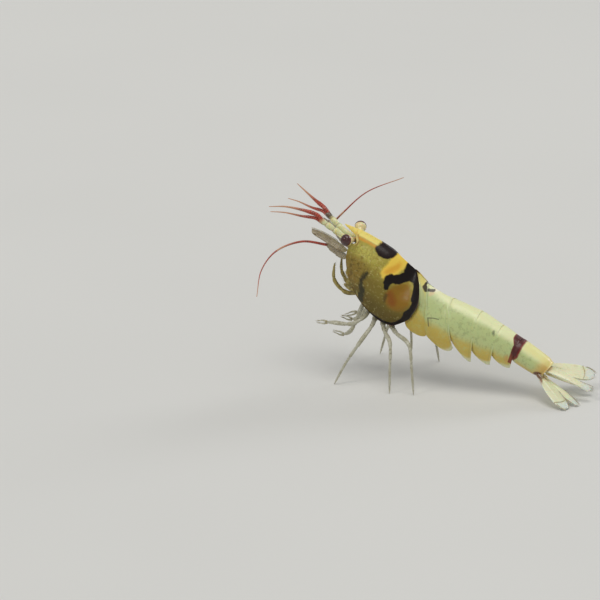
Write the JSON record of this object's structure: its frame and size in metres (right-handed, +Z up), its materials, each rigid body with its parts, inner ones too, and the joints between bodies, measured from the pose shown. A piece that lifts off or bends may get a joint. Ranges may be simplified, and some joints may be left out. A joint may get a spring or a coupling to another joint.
{
  "type": "aquarium shrimp model",
  "caption": "Still model of a small banded aquarium shrimp standing on its walking legs, head raised, with the abdomen sloping down to a spread tail fan",
  "frame": {"origin": "on the ground, under the middle of the model's box", "axes": "+Z up, the head towards -Y, the left flank towards +X"},
  "size_m": [0.013, 0.0288, 0.0167],
  "materials": {
    "banded_shell": "smooth wet shell, yellow with black bands",
    "pale_shell": "smooth wet shell, pale greenish cream with golden side plates",
    "clear_limbs": "thin translucent limb shell",
    "cream_fan": "thin translucent fan plates, cream with bluish-white ends",
    "dark_cornea": "polished dark maroon",
    "red_whips": "thin ringed whips, reddish brown"
  },
  "bodies": {
    "root": {"carapace": "banded_shell", "chest": "clear_limbs", "mouthparts": "clear_limbs", "abdomen_1": "pale_shell", "abdomen_2": "pale_shell", "abdomen_3": "pale_shell", "abdomen_4": "pale_shell", "abdomen_5": "pale_shell", "abdomen_6": "pale_shell", "telson": "cream_fan", "eyestalk_left": "clear_limbs", "eye_left": "dark_cornea", "antennule_left": "pale_shell", "antennule_whip_outer_left": "red_whips", "antennule_whip_inner_left": "red_whips", "antenna_base_left": "clear_limbs", "antenna_scale_left": "clear_limbs", "antenna_near_left": "red_whips", "antenna_far_left": "red_whips", "maxilliped_left": "clear_limbs", "leg_1_left": "clear_limbs", "leg_2_left": "clear_limbs", "leg_3_left": "clear_limbs", "leg_4_left": "clear_limbs", "leg_5_left": "clear_limbs", "pleopod_1_left": "clear_limbs", "pleopod_2_left": "clear_limbs", "pleopod_3_left": "clear_limbs", "pleopod_4_left": "clear_limbs", "pleopod_5_left": "clear_limbs", "exopod_left": "cream_fan", "endopod_left": "cream_fan", "eyestalk_right": "clear_limbs", "eye_right": "dark_cornea", "antennule_right": "pale_shell", "antennule_whip_outer_right": "red_whips", "antennule_whip_inner_right": "red_whips", "antenna_base_right": "clear_limbs", "antenna_scale_right": "clear_limbs", "antenna_near_right": "red_whips", "antenna_far_right": "red_whips", "maxilliped_right": "clear_limbs", "leg_1_right": "clear_limbs", "leg_2_right": "clear_limbs", "leg_3_right": "clear_limbs", "leg_4_right": "clear_limbs", "leg_5_right": "clear_limbs", "pleopod_1_right": "clear_limbs", "pleopod_2_right": "clear_limbs", "pleopod_3_right": "clear_limbs", "pleopod_4_right": "clear_limbs", "pleopod_5_right": "clear_limbs", "exopod_right": "cream_fan", "endopod_right": "cream_fan"}
  },
  "joints": []
}
